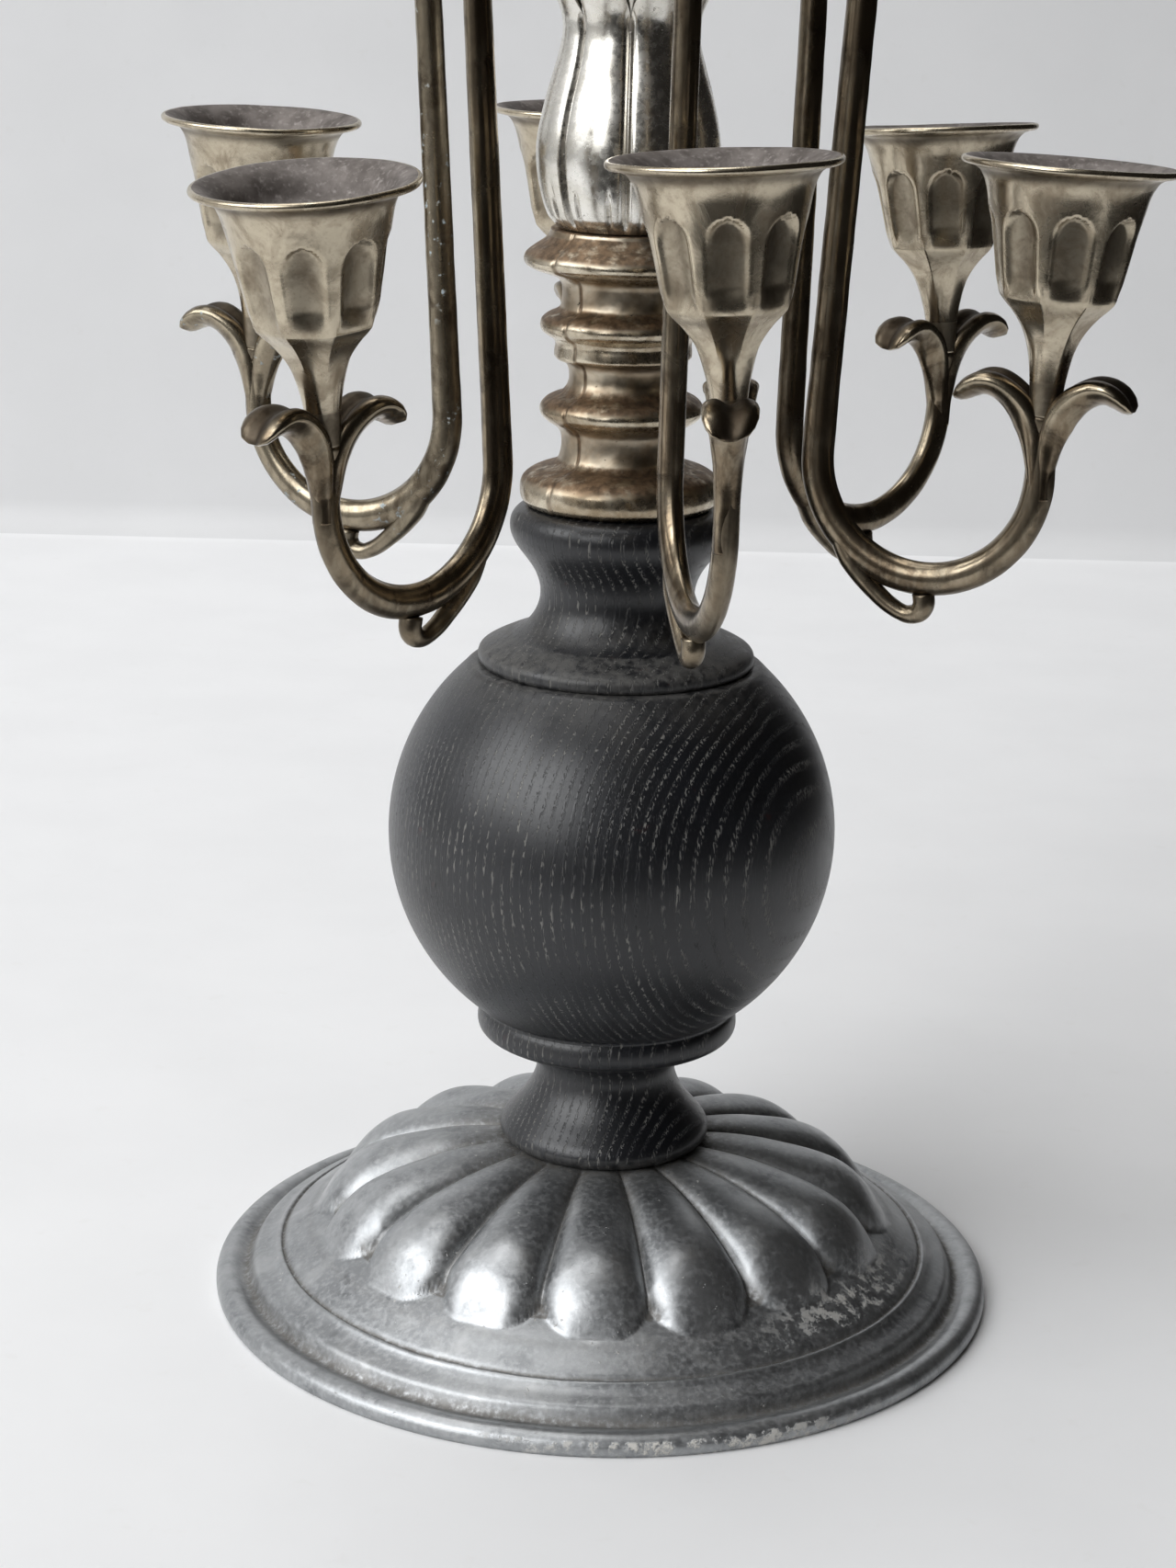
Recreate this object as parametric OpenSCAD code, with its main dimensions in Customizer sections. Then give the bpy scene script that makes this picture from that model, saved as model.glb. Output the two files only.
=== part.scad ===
// Seven-light candelabra (menorah): cast foot, turned wooden post, cast ring collar and
// tulip vase, a socket hub with six lift-out swivelling arms, and a raised centre light.
// Millimetres, +Z up. The origin is the centre of the foot's resting plane, -Y is the front.

/* [Foot] */
// Outer radius of the foot
foot_r = 89; // [86:0.5:95]
// Height of the foot's seat for the post
foot_h = 35.5; // [34:0.5:37]
// Number of gadroons round the dome
gadroons = 16; // [12:2:16]
// Radius of a gadroon's round outer end
gadroon_r = 10.8; // [10:0.1:11.2]

/* [Post] */
// Radius of the turned ball
ball_r = 49.8; // [45:0.1:50]
// Height of the ball's centre
ball_z = 109; // [108:0.5:110]
// Radius of the tie rod that clamps the stack
rod_r = 4; // [3:0.5:4]

/* [Arms] */
// Radius of the circle that the arm sockets stand on
socket_ring_r = 16; // [15:0.5:17]
// Direction of the first arm socket, from the front towards +X, in degrees
first_arm_az = 11.5; // [0:0.5:20]
// Distance of each cup from the post's axis
cup_ring_r = 92; // [88:0.5:96]
// Radius of the arm's lower bend
bend_r = 24.4; // [23:0.1:26]
// Height of the lower bend's centre
bend_z = 197; // [195:0.5:200]
// Distance of the hanging rod from the post's axis at the bend
rod_low_r = 43.2; // [42:0.2:46]
// Distance of the hanging rod from the post's axis at the arch
rod_high_r = 51; // [48:0.2:54]
// Radius of an arm's peg
peg_r = 2.6; // [2:0.1:3]

/* [Cups] */
// Radius of a cup's rim
rim_r = 22.2; // [20:0.1:23]
// Height of a cup from its seat to its rim
cup_h = 51.5; // [50:0.5:54]
// Radius of the candle socket
candle_r = 11.25; // [11:0.05:11.5]

/* [Hidden] */
$fn = 64;

arms = 6;
// How far each arm stands off its even place, in degrees: the arms are bent a little in use
cup_turn = [1.2, -1.3, -4.5, -5, -7, 10];
rod_low_turn = [2, 2.5, -10.5, -5, -8, 13];
rod_high_turn = [1, 2, -3.5, -1.5, -6.5, 8.5];
// How far each cup leans towards +X and towards -Y, in degrees, and how much higher it stands
cup_lean = [-3, 2.9, -2.8, 0, 1.6, -3.7];
cup_nod = [-0.5, -1.7, -3.9, 0, 1.8, 5.5];
cup_lift = [6, 1, 0.5, 0, 0.5, -1];

// Heights up the stack
post_top = 182.5;
collar_top = 242;
vase_top = 297;
hub_seat = 262;
hub_top = 318;
stem_seat = 322;
centre_cup_z = 346;
arch_z = 332;
cup_z = 208.5;
rod_clearance = 0.5;
peg_clearance = 0.05;
peg_bottom = 305.5;
shank_r = 1.5;
shank_end = -10;
head_r = 2.8;
head_h = 1.9;
floor_z = 29;
recess_z = 26.8;

function around(az, r, z) = [r * sin(az), -r * cos(az), z];
function even_az(k) = first_arm_az + 60 * k;
function unit(v) = v / norm(v);
function mixed(a, b, t) = a + (b - a) * t;

// Plan points of arm k: its socket, the top and foot of its hanging rod, and its cup's seat
function socket_at(k) = around(even_az(k), socket_ring_r, 0);
function hang_at(k) = around(even_az(k) + rod_high_turn[k], rod_high_r, 0);
function foot_dir(k) = unit(around(even_az(k) + cup_turn[k], cup_ring_r, 0)
    - around(even_az(k) + rod_low_turn[k], rod_low_r, 0));
function seat_at(k) = around(even_az(k) + cup_turn[k], cup_ring_r, 0);
function low_at(k) = seat_at(k) - foot_dir(k) * 2 * bend_r;
function arch_dir(k) = unit(hang_at(k) - socket_at(k));
function side_of(d) = [-d[1], d[0], 0];
function up(z) = [0, 0, z];

// One ring of a swept strand: centre, in-plane normal, side vector
function ring(p, n, s, a, b, sides) = [for (i = [0 : sides - 1]) let (t = 360 * i / sides)
    p + n * a * cos(t) + s * b * sin(t)];

// Sweeps an oval along points; sizes holds [half height, half width] at each point
module strand(points, sides_at, sizes, sides = 10) {
    last = len(points) - 1;
    rings = [for (i = [0 : last]) let (
        tangent = unit(points[min(i + 1, last)] - points[max(i - 1, 0)]),
        s = unit(sides_at[i] - tangent * (sides_at[i] * tangent)),
        n = cross(s, tangent)) ring(points[i], n, s, sizes[i][0], sizes[i][1], sides)];
    verts = [for (r = rings) for (p = r) p];
    walls = [for (i = [0 : last - 1]) for (j = [0 : sides - 1]) let (
        a = i * sides + j, b = i * sides + (j + 1) % sides) each
        [[b, a, b + sides], [b + sides, a, a + sides]]];
    start = [[for (j = [0 : sides - 1]) j]];
    end = [[for (j = [sides - 1 : -1 : 0]) last * sides + j]];
    polyhedron(verts, concat(walls, start, end));
}

// ---- Foot ----
module foot() color([0.55, 0.57, 0.59]) difference() {
    union() {
        rotate_extrude() polygon([[0, 10], [0, foot_h], [20.5, foot_h], [22, 34.6], [26, 33.8], [34, 31.8],
            [42, 28.8], [50, 24.8], [56, 21], [61, 18], [65, 16], [73.2, 10.3], [74.6, 10.1], [76.4, 8.6],
            [80, 6.8], [81, 5], [81.9, 3.7], [83.4, 4], [85.6, 4.6], [87.2, 4.3],
            [foot_r - 0.6, 3.4], [foot_r, 2.4], [foot_r, 0], [72, 0]]);
        for (i = [0 : gadroons - 1]) rotate([0, 0, i * 360 / gadroons]) gadroon();
    }
    // hollow of the casting, open below
    rotate_extrude() polygon([[0, -1], [80.5, -1], [80.5, 0], [78, 2.6], [72, 7], [64, 11.8], [56, 15.6],
        [48, 19.6], [40, 23], [30, 26], [0, 26]]);
    cylinder(h = foot_h + 1, r = rod_r + rod_clearance);
}

// A tapered lobe that runs out from the stem to a round end
module gadroon() {
    inner = [0, -20, foot_h - 4.8];
    outer = [0, -55, 17.6];
    run = outer - inner;
    translate(outer) sphere(r = gadroon_r);
    translate(inner) rotate([90 - atan2(run[2], -run[1]), 0, 0])
        cylinder(h = norm(run), r1 = 4.6, r2 = gadroon_r - 0.3);
}

module foot_washer() color([0.6, 0.6, 0.6]) translate([0, 0, 24]) difference() {
    cylinder(h = 2, r = 12);
    translate([0, 0, -1]) cylinder(h = 4, r = rod_r + rod_clearance);
}

module foot_nut() color([0.6, 0.6, 0.6]) translate([0, 0, 17.5]) difference() {
    cylinder(h = 6.5, r = 7.5, $fn = 6);
    translate([0, 0, -1]) cylinder(h = 9, r = rod_r);
}

module tie_rod() color([0.6, 0.6, 0.6]) translate([0, 0, 15]) cylinder(h = 318, r = rod_r);

// ---- Turned wooden post ----
function ball_arc(z0, z1, steps) = [for (i = [0 : steps]) let (
    a0 = asin((z0 - ball_z) / ball_r), a1 = asin((z1 - ball_z) / ball_r), a = a0 + (a1 - a0) * i / steps)
    [ball_r * cos(a), ball_z + ball_r * sin(a)]];

module turned_post() color([0.07, 0.075, 0.085]) difference() {
    rotate_extrude() polygon(concat(
        [[0, foot_h], [21.6, foot_h], [23.2, 36.4], [23.9, 38], [23.2, 40], [20.6, 43], [18, 46.4],
            [16.3, 49.6], [15.75, 52.5], [16, 54.8], [16.8, 56.6], [17.4, 57.6],
            [26.4, 60.6], [28.8, 62.4], [29.3, 63.8], [29.1, 66.2], [28.4, 67.4]],
        ball_arc(68.6, 147, 28),
        [[30.2, 147.6], [30.4, 149.6], [29.6, 150.6], [27.4, 152.2], [25.2, 153.4], [21.4, 154.8],
            [18.8, 157],
            [17.3, 160], [16.9, 162.8], [17.4, 166], [19.2, 169.6], [21.4, 172.6], [23.2, 175.4], [23.8, 178],
            [23.1, 180.4], [21.4, 182], [19.6, post_top], [0, post_top]]));
    translate([0, 0, foot_h - 1]) cylinder(h = post_top, r = rod_r + rod_clearance);
}

// ---- Cast ring collar and tulip vase ----
module ring_collar() color([0.72, 0.7, 0.65]) difference() {
    rotate_extrude() polygon([[0, post_top], [19.2, post_top], [20.4, 183.4], [21.4, 184.4], [21.7, 186],
        [21.4, 187.8], [20.4, 189.4], [17.4, 191.2], [14.2, 192.2], [13.3, 193.6], [12.8, 196], [12.9, 198],
        [13.6, 199.6], [16.6, 201.8], [17.7, 203.3], [17.3, 205], [15.5, 206.4], [12.8, 207.4], [12, 208.6],
        [11.5, 210.8], [11.9, 213.4], [13.2, 214.4], [14.7, 215.2], [14.8, 217], [15.2, 218.6], [17.2, 220.2],
        [18, 221.6], [17.4, 223.2], [15, 224.6], [13.5, 226], [13.3, 228], [13.6, 231], [15.6, 232.4],
        [20.2, 233.8], [21.6, 235.3], [20.9, 237.2], [18, 239.4], [16, 241], [15.6, collar_top],
        [0, collar_top]]);
    translate([0, 0, post_top - 1]) cylinder(h = 70, r = rod_r + rod_clearance);
}

vase_wall = [[15.3, collar_top], [17.1, 244.8], [18.9, 251], [19.7, 257.5], [19, 264.3], [17.6, 270],
    [16.2, 275], [14.9, 279.8], [14.6, 284], [15.6, 287.6], [17.6, 290.6], [20.2, 294], [21.8, vase_top]];
petals = 8;
notch_z = 285.5;
module tulip_vase() color([0.78, 0.77, 0.73]) difference() {
    rotate_extrude() polygon(concat([[0, collar_top]], vase_wall,
        [[20.4, vase_top], [18, 294.4], [14.4, 290.4], [12.3, 286], [12.2, 280], [13.4, 274], [14.4, 270],
            [14, 265], [11, hub_seat], [0, hub_seat]]));
    // sunk lines between the petals
    for (i = [0 : petals / 2 - 1]) rotate([0, 0, i * 360 / petals]) petal_line();
    // notches between the petal tips
    for (i = [0 : petals - 1]) rotate([0, 0, i * 360 / petals]) translate([0, 0, notch_z])
        rotate([90, 0, 0]) linear_extrude(height = 30) polygon([[0, 0], [4.2, 13], [-4.2, 13]]);
    translate([0, 0, collar_top - 1]) cylinder(h = 40, r = rod_r + rod_clearance);
}
module petal_line() difference() {
    translate([-0.4, -30, collar_top + 2]) cube([0.8, 60, vase_top - collar_top]);
    rotate([90, 0, 90]) translate([0, 0, -1]) linear_extrude(height = 2)
        polygon(concat([for (p = vase_wall) [p[0] - 0.7, p[1]]],
            [for (i = [len(vase_wall) - 1 : -1 : 0]) [0.7 - vase_wall[i][0], vase_wall[i][1]]]));
}

// ---- Hub and centre light ----
module arm_hub() color([0.72, 0.7, 0.65]) difference() {
    rotate_extrude() polygon([[0, hub_seat], [8.6, hub_seat], [8.6, 290], [9.4, 294], [12.4, 298.4],
        [17.6, 301.4],
        [21.4, 303.6], [22.6, 306.4], [22.6, 314], [21.8, 316.8], [20.2, hub_top], [11, hub_top],
        [10.6, 320], [9.6, 321.4], [9.2, stem_seat], [0, stem_seat]]);
    for (k = [0 : arms - 1]) translate(socket_at(k) + up(peg_bottom - 0.5))
        cylinder(h = 20, r = peg_r + peg_clearance);
    translate([0, 0, hub_seat - 1]) cylinder(h = 70, r = rod_r);
}

module centre_stem() color([0.72, 0.7, 0.65]) difference() {
    rotate_extrude() polygon([[0, stem_seat], [9.2, stem_seat], [9.6, 323.6], [8.8, 325.2], [6.4, 326.6],
        [6, 328.6], [6.8, 330.4], [8.6, 332.2], [9, 334], [8.4, 335.8], [6.4, 337.4], [5, 339.4], [4.4, 342],
        [3.9, 344], [3.7, centre_cup_z], [0, centre_cup_z]]);
    translate([0, 0, stem_seat - 1]) cylinder(h = 13, r = rod_r);
    translate([0, 0, centre_cup_z + shank_end - 0.5]) cylinder(h = 20, r = shank_r);
}

// Candle cup, standing on its seat at the origin
module cup_shape() difference() {
    rotate_extrude() polygon([[0, 0], [3.3, 0], [3.4, 5], [4.1, 10], [5, 13.6], [6.4, 16.8], [8.6, 20],
        [11.7, 23.2], [12.4, 24.4], [13.5, 30], [14.4, 35], [15.8, 42], [16.9, cup_h - 5.5],
        [17.8, cup_h - 3.3], [19.6, cup_h - 1.7], [rim_r - 0.3, cup_h - 1.3],
        [rim_r, cup_h - 0.7], [rim_r - 0.3, cup_h], [rim_r - 1.6, cup_h - 0.1], [18.2, cup_h - 1.1],
        [15.9, cup_h - 3.2], [14.6, cup_h - 6], [candle_r, cup_h - 9], [candle_r, floor_z + 0.6],
        [candle_r - 0.8, floor_z], [head_r + 0.4, floor_z], [head_r + 0.4, recess_z], [0, recess_z]]);
    for (i = [0 : 7]) rotate([0, 0, i * 45]) translate([14.2, 0, 33]) rotate([0, 10, 0]) flute();
    translate([0, 0, -1]) cylinder(h = floor_z, r = shank_r + 0.2);
}
// Sunk panel with a round top, cut into a cup's wall
module flute() rotate([90, 0, 90]) translate([0, 0, -0.75]) linear_extrude(height = 4) union() {
    translate([-3.4, -9.4]) square([6.8, 14.4]);
    translate([0, 5]) circle(r = 3.4);
}

module screw_shape() union() {
    translate([0, 0, recess_z]) cylinder(h = head_h, r = head_r);
    translate([0, 0, shank_end]) cylinder(h = recess_z - shank_end, r = shank_r);
}

// Moves a cup's own frame onto arm k's seat
module on_seat(k) translate(seat_at(k) + up(cup_z + cup_lift[k])) rotate([cup_nod[k], cup_lean[k], 0])
    children();

module centre_cup() color([0.6, 0.57, 0.5]) translate([0, 0, centre_cup_z]) cup_shape();
module centre_cup_screw() color([0.6, 0.6, 0.6]) translate([0, 0, centre_cup_z]) screw_shape();
module cup(k) color([0.6, 0.57, 0.5]) on_seat(k) cup_shape();
module cup_screw(k) color([0.6, 0.6, 0.6]) on_seat(k) screw_shape();

// ---- Arms ----
// Point beside the riser of arm k: s runs outward from the riser, z is the height
function beside(k, s, z) = seat_at(k) + foot_dir(k) * s + up(z);

arch_steps = 12;
rod_steps = 5;
bend_steps = 14;
function arch_points(k) = let (
    mid = (socket_at(k) + hang_at(k)) / 2,
    r = norm(hang_at(k) - socket_at(k)) / 2)
    [for (i = [0 : arch_steps]) let (a = 180 * i / arch_steps)
        mid - arch_dir(k) * r * cos(a) + up(arch_z + r * sin(a))];
function rod_points(k) = [for (i = [1 : rod_steps]) let (t = i / (rod_steps + 1))
    mixed(hang_at(k) + up(arch_z), low_at(k) + up(bend_z), t)];
function bend_points(k) = [for (i = [0 : bend_steps]) let (a = 180 * i / bend_steps)
    beside(k, -bend_r - bend_r * cos(a), bend_z - bend_r * sin(a))];
function arm_points(k) = concat([socket_at(k) + up(hub_top + 2)], arch_points(k), rod_points(k),
    bend_points(k), [beside(k, 0, 202 + cup_lift[k])]);
arch_half = [2.9, 2.7];
bend_half = [3.6, 2.7];
riser_half = [3.2, 2.6];
function arm_sizes() = concat([for (i = [0 : arch_steps + 1]) arch_half],
    [for (i = [1 : rod_steps]) mixed(arch_half, bend_half, pow(i / rod_steps, 3))],
    [for (i = [0 : bend_steps]) mixed(bend_half, riser_half, i / bend_steps)], [riser_half]);
function arm_sides(k) = concat([for (i = [0 : arch_steps + 1]) side_of(arch_dir(k))],
    [for (i = [1 : rod_steps]) mixed(side_of(arch_dir(k)), side_of(foot_dir(k)), i / (rod_steps + 1))],
    [for (i = [0 : bend_steps + 1]) side_of(foot_dir(k))]);

// A leaf that curls away from the riser; out is 1 for the outer leaf and -1 for the inner one
leaf_line = [[1.2, 196], [1.6, 202], [2.6, 208], [4.4, 211.8], [7.4, 214.6], [11, 216.2], [14.4, 215.9],
    [17, 214.2], [19, 211.6]];
leaf_half = [[1.8, 2.4], [2.3, 2.8], [2.8, 3.8], [2.8, 4.8], [2.5, 5.8], [2.3, 6.3], [2, 6], [1.6, 4.8],
    [0.6, 2]];
module leaf(k, out) strand([for (p = leaf_line) beside(k, out * p[0], p[1] + cup_lift[k])],
    [for (p = leaf_line) side_of(foot_dir(k))], leaf_half, 8);

// The small curl under the bend
curl_line = [[-42.6, 180], [-40.4, 175.8], [-37.4, 171.8], [-34, 168.4], [-30.4, 165.7], [-27, 164.5],
    [-24.4, 165.4], [-23.8, 168.4]];
curl_half = [1.9, 1.8];
module curl(k) strand([for (p = curl_line) beside(k, p[0], p[1])],
    [for (p = curl_line) side_of(foot_dir(k))], [for (p = curl_line) curl_half], 8);

module arm(k) color([0.42, 0.38, 0.31]) difference() {
    union() {
        strand(arm_points(k), arm_sides(k), arm_sizes());
        leaf(k, 1);
        leaf(k, -1);
        curl(k);
        on_seat(k) translate([0, 0, -12]) cylinder(h = 12, r1 = 2.2, r2 = 3.5);
        // peg and shoulder that stand in the hub
        translate(socket_at(k) + up(peg_bottom)) cylinder(h = 16, r = peg_r);
        translate(socket_at(k) + up(hub_top + 0.05)) cylinder(h = 3, r = 4.2);
    }
    on_seat(k) translate([0, 0, shank_end - 0.5]) cylinder(h = 12, r = shank_r);
    // clears the round foot of the cup between the leaves
    on_seat(k) cylinder(h = 20, r = 4.6);
}

foot();
foot_washer();
foot_nut();
tie_rod();
turned_post();
ring_collar();
tulip_vase();
arm_hub();
centre_stem();
centre_cup();
centre_cup_screw();
for (k = [0 : arms - 1]) {
    arm(k);
    cup(k);
    cup_screw(k);
}
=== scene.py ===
import math

import bpy
import numpy as np
from mathutils import Matrix, noise


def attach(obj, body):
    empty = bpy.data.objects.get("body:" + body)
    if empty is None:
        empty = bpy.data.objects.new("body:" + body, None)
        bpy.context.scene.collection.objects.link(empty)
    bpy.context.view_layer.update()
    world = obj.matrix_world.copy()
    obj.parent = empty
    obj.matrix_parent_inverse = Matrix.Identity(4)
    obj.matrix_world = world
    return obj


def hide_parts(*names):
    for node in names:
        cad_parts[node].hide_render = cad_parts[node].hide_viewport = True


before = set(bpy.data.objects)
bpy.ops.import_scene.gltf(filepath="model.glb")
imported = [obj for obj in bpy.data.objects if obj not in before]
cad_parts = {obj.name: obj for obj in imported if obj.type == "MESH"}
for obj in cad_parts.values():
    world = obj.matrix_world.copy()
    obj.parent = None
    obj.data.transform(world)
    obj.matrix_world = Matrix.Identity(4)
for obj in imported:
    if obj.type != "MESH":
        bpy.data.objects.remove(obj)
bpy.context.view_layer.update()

MM = 0.001
ARMS = 6

# ---------------------------------------------------------------- camera, stage and light


def camera():
    """A long-lens view, a little above the cups and looking down on the foot."""
    distance, height = 0.6835, 0.3213
    focal, film_tall, picture_shape = 73.45, 36, 1280 / 1706
    pitch, roll, yaw = math.radians(16.48), math.radians(1.32), math.radians(-0.46)
    data = bpy.data.cameras.new("camera")
    data.sensor_fit = "VERTICAL"
    data.sensor_height = film_tall
    data.sensor_width = film_tall * picture_shape
    data.lens = focal
    data.clip_start = 0.01
    obj = bpy.data.objects.new("camera", data)
    ahead = np.array([math.sin(yaw) * math.cos(pitch), math.cos(yaw) * math.cos(pitch),
                      -math.sin(pitch)])
    level = np.array([math.cos(yaw), -math.sin(yaw), 0.0])
    above = np.cross(level, ahead)
    right = math.cos(roll) * level + math.sin(roll) * above
    up = -math.sin(roll) * level + math.cos(roll) * above
    turn = np.eye(4)
    turn[:3, 0], turn[:3, 1], turn[:3, 2] = right, up, -ahead
    turn[:3, 3] = (0, -distance, height)
    obj.matrix_world = Matrix(turn.tolist())
    bpy.context.scene.collection.objects.link(obj)
    bpy.context.scene.camera = obj


def area_light(name, where, target, width, height, watts, colour=(1, 1, 1)):
    """A soft window of that size in metres, facing its target."""
    data = bpy.data.lights.new(name, "AREA")
    data.shape = "RECTANGLE"
    data.size, data.size_y = width, height
    data.energy = watts
    data.color = colour
    obj = bpy.data.objects.new(name, data)
    back = (np.array(where) - np.array(target)).astype(float)
    back /= np.linalg.norm(back)
    side = np.cross((0, 0, 1), back)
    side /= np.linalg.norm(side)
    up = np.cross(back, side)
    turn = np.eye(4)
    turn[:3, 0], turn[:3, 1], turn[:3, 2], turn[:3, 3] = side, up, back, where
    obj.matrix_world = Matrix(turn.tolist())
    bpy.context.scene.collection.objects.link(obj)


def room():
    """Surroundings for the reflections: a dark room, paler towards the window's side and overhead."""
    world = bpy.data.worlds.new("room")
    world.use_nodes = True
    tree = world.node_tree
    place = tree.nodes.new("ShaderNodeTexCoord")
    toward = tree.nodes.new("ShaderNodeVectorMath")
    toward.operation = "DOT_PRODUCT"
    toward.inputs[1].default_value = (-0.85, -0.15, 0.50)
    band = tree.nodes.new("ShaderNodeValToRGB")
    tree.links.new(place.outputs["Generated"], toward.inputs[0])
    tree.links.new(toward.outputs["Value"], band.inputs[0])
    stops = band.color_ramp.elements
    stops[0].position, stops[0].color = 0.0, (0.022, 0.020, 0.018, 1)
    stops[1].position, stops[1].color = 1.0, (1.0, 1.0, 1.0, 1)
    for at, shade in ((0.3, (0.04, 0.038, 0.036, 1)), (0.65, (0.30, 0.30, 0.30, 1))):
        stop = stops.new(at)
        stop.color = shade
    back = tree.nodes["Background"]
    tree.links.new(band.outputs[0], back.inputs[0])
    back.inputs[1].default_value = 0.8
    bpy.context.scene.world = world


# ---------------------------------------------------------------- material nodes


class Finish:
    """A material with a Principled shader, and short calls for its nodes."""

    def __init__(self, name):
        self.material = bpy.data.materials.new(name)
        self.material.use_nodes = True
        self.tree = self.material.node_tree
        self.tree.nodes.clear()
        self.shader = self.add("ShaderNodeBsdfPrincipled")
        out = self.add("ShaderNodeOutputMaterial")
        self.tree.links.new(self.shader.outputs[0], out.inputs[0])
        self.place = self.add("ShaderNodeTexCoord").outputs["Object"]

    def add(self, kind, settings=None, **inputs):
        node = self.tree.nodes.new(kind)
        for key, value in (settings or {}).items():
            setattr(node, key, value)
        for key, value in inputs.items():
            self.feed(node.inputs[key.replace("_", " ")], value)
        return node

    def feed(self, socket, value):
        if isinstance(value, bpy.types.NodeSocket):
            self.tree.links.new(value, socket)
        elif isinstance(value, (tuple, list)) and len(value) == 3 and socket.type == "RGBA":
            socket.default_value = (*value, 1)
        else:
            socket.default_value = value

    def set(self, **inputs):
        for key, value in inputs.items():
            self.feed(self.shader.inputs[key.replace("_", " ")], value)

    def stretched(self, x, y, z):
        """The place of a point, scaled along each axis."""
        return self.add("ShaderNodeMapping", {"vector_type": "POINT"}, Vector=self.place,
                        Scale=(x, y, z)).outputs[0]

    def noise(self, size_mm, detail=3.0, rough=0.55, at=None, warp=0.0):
        node = self.add("ShaderNodeTexNoise", Vector=at or self.place, Scale=1000.0 / size_mm,
                        Detail=detail, Roughness=rough, Distortion=warp)
        return node.outputs["Fac"]

    def ramp(self, value, *stops, ease="EASE"):
        """Maps a value through (position, grey or colour) stops."""
        node = self.add("ShaderNodeValToRGB", Fac=value)
        band = node.color_ramp
        band.interpolation = ease
        while len(band.elements) < len(stops):
            band.elements.new(0.5)
        for element, (position, shade) in zip(band.elements, stops):
            element.position = position
            element.color = (*shade, 1) if isinstance(shade, tuple) else (shade, shade, shade, 1)
        return node.outputs["Color"]

    def mask(self, value, low, high):
        """0 below low, 1 above high."""
        node = self.add("ShaderNodeMapRange", {"interpolation_type": "SMOOTHSTEP", "clamp": True},
                        Value=value)
        node.inputs["From Min"].default_value = low
        node.inputs["From Max"].default_value = high
        return node.outputs[0]

    def maths(self, kind, a, b, clamp=False):
        node = self.add("ShaderNodeMath", {"operation": kind, "use_clamp": clamp})
        self.feed(node.inputs[0], a)
        self.feed(node.inputs[1], b)
        return node.outputs[0]

    def times(self, a, b):
        return self.maths("MULTIPLY", a, b)

    def larger(self, a, b):
        return self.maths("MAXIMUM", a, b)

    def less(self, a, b):
        return self.maths("SUBTRACT", a, b)

    def mix(self, amount, a, b):
        """Mixes two colours."""
        node = self.add("ShaderNodeMix", {"data_type": "RGBA"})
        self.feed(node.inputs[0], amount)
        self.feed(node.inputs[6], a)
        self.feed(node.inputs[7], b)
        return node.outputs[2]

    def blend(self, amount, a, b):
        """Mixes two values."""
        node = self.add("ShaderNodeMix", {"data_type": "FLOAT"})
        self.feed(node.inputs[0], amount)
        self.feed(node.inputs[2], a)
        self.feed(node.inputs[3], b)
        return node.outputs[0]

    def painted(self, name):
        """A value stored on the mesh's points."""
        return self.add("ShaderNodeAttribute", {"attribute_name": name}).outputs["Fac"]

    def facing_up(self):
        """How far the surface faces up, from -1 to 1."""
        normal = self.add("ShaderNodeNewGeometry").outputs["Normal"]
        return self.add("ShaderNodeSeparateXYZ", Vector=normal).outputs[2]

    def bump(self, height, depth_mm, after=None, strength=1.0):
        node = self.add("ShaderNodeBump", Height=height, Distance=depth_mm * MM, Strength=strength)
        if after is not None:
            self.feed(node.inputs["Normal"], after)
        return node.outputs[0]


def cast_zinc():
    """Dull grey casting: blotched, bright where rubbed, dark in the valleys, with pale crust in chips."""
    f = Finish("cast_zinc")
    blotch = f.noise(9, 5, 0.62, warp=0.4)
    fine = f.noise(1.3, 4, 0.6)
    grain = f.noise(0.35, 2, 0.5)
    rubbed = f.painted("rubbed")
    grime = f.painted("grime")
    metal = f.ramp(blotch, (0.28, (0.22, 0.228, 0.235)), (0.5, (0.34, 0.35, 0.358)),
                   (0.72, (0.45, 0.458, 0.462)))
    metal = f.mix(f.times(f.mask(fine, 0.42, 0.7), 0.6), metal, (0.50, 0.51, 0.52))
    bright = f.times(rubbed, f.mask(f.noise(3.5, 4, 0.6), 0.3, 0.62))
    metal = f.mix(f.times(bright, 0.6), metal, (0.52, 0.53, 0.54))
    dirt = f.times(grime, f.mask(f.noise(1.4, 4, 0.6), 0.2, 0.6))
    metal = f.mix(f.times(dirt, 0.75), metal, (0.13, 0.115, 0.095))
    specks = f.times(f.mask(f.noise(1.1, 3, 0.6), 0.66, 0.72), f.mask(f.noise(14, 2), 0.5, 0.6))
    chips = f.times(f.painted("chips"), f.mask(f.noise(3.2, 6, 0.7), 0.50, 0.60))
    crust = f.larger(chips, f.times(specks, 0.6))
    metal = f.mix(crust, metal, (0.62, 0.60, 0.56))
    rough = f.blend(f.mask(fine, 0.3, 0.7), 0.36, 0.5)
    rough = f.blend(f.times(bright, 0.8), rough, 0.32)
    rough = f.blend(f.larger(f.times(dirt, 0.7), crust), rough, 0.85)
    relief = f.bump(blotch, 0.12, strength=0.6)
    relief = f.bump(fine, 0.05, relief, 0.6)
    relief = f.bump(grain, 0.02, relief, 0.5)
    relief = f.bump(crust, 0.12, relief)
    metallic = f.maths("SUBTRACT", 0.92, f.times(crust, 0.85), clamp=True)
    f.set(Base_Color=metal, Metallic=metallic, Roughness=rough, Normal=relief)
    return f.material


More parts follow.
